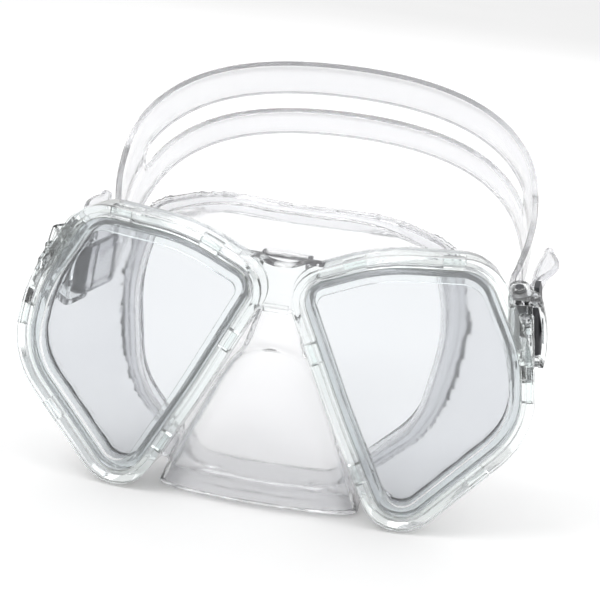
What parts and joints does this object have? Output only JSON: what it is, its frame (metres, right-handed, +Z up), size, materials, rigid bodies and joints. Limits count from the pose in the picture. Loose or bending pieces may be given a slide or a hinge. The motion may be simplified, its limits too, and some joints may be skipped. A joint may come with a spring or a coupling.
{
  "type": "diving mask",
  "caption": "Clear twin-lens diving mask with a soft face skirt, clip-in lens bezels, swivelling strap buckles with release levers, and a split head strap.",
  "frame": {"origin": "where the skirt's seal rests on the bridge of the wearer's nose", "axes": "+X to the wearer's left, -Y forward through the lenses, +Z up"},
  "size_m": [0.1673, 0.1179, 0.1331],
  "materials": {
    "clear_polycarbonate": "polished clear moulding",
    "lens_glass": "polished tempered glass",
    "clear_silicone": "soft clear satin",
    "clear_strap": "soft clear satin",
    "smoke_plastic": "satin moulding",
    "stainless_steel": "satin"
  },
  "bodies": {
    "mask": {"main_frame": "clear_polycarbonate", "lens_bezel_left": "clear_polycarbonate", "lens_bezel_right": "clear_polycarbonate", "lens_left": "lens_glass", "lens_right": "lens_glass", "skirt": "clear_silicone", "strap": "clear_strap", "swivel_pin_left": "stainless_steel", "swivel_pin_right": "stainless_steel"},
    "buckle_left": {"buckle_body_left": "clear_polycarbonate", "lever_pin_left": "stainless_steel", "lever_spring_left": "stainless_steel", "strap_end_left": "clear_strap"},
    "roller_left": {"strap_roller_left": "smoke_plastic"},
    "lever_left": {"release_lever_left": "smoke_plastic"},
    "buckle_right": {"buckle_body_right": "clear_polycarbonate", "lever_pin_right": "stainless_steel", "lever_spring_right": "stainless_steel", "strap_end_right": "clear_strap"},
    "roller_right": {"strap_roller_right": "smoke_plastic"},
    "lever_right": {"release_lever_right": "smoke_plastic"}
  },
  "joints": [
    {"name": "buckle_swivel_left", "type": "hinge", "parent": "mask", "child": "buckle_left", "pos_m": [-0.0775, -0.001, 0.007], "axis": [-0.1632, 0.342, -0.9254], "range_deg": [-40, 1]},
    {"name": "roller_spin_left", "type": "hinge", "parent": "buckle_left", "child": "roller_left", "pos_m": [-0.06859, 0.00765, 0.00863], "axis": [-0.1632, 0.342, -0.9254], "continuous": true},
    {"name": "lever_release_left", "type": "hinge", "parent": "buckle_left", "child": "lever_left", "pos_m": [-0.07543, 0.00641, 0.00937], "axis": [0.1632, -0.342, 0.9254], "range_deg": [0, 25], "stiffness_Nm_per_rad": 0.01, "springref_deg": -20.05, "deforming": ["lever_spring_left"]},
    {"name": "buckle_swivel_right", "type": "hinge", "parent": "mask", "child": "buckle_right", "pos_m": [0.0775, -0.001, 0.007], "axis": [-0.1632, -0.342, 0.9254], "range_deg": [-35, 4]},
    {"name": "roller_spin_right", "type": "hinge", "parent": "buckle_right", "child": "roller_right", "pos_m": [0.0749, 0.01064, 0.01084], "axis": [-0.1632, -0.342, 0.9254], "continuous": true},
    {"name": "lever_release_right", "type": "hinge", "parent": "buckle_right", "child": "lever_right", "pos_m": [0.08008, 0.006, 0.01004], "axis": [0.1632, 0.342, -0.9254], "range_deg": [0, 25], "stiffness_Nm_per_rad": 0.01, "springref_deg": -20.05, "deforming": ["lever_spring_right"]}
  ]
}
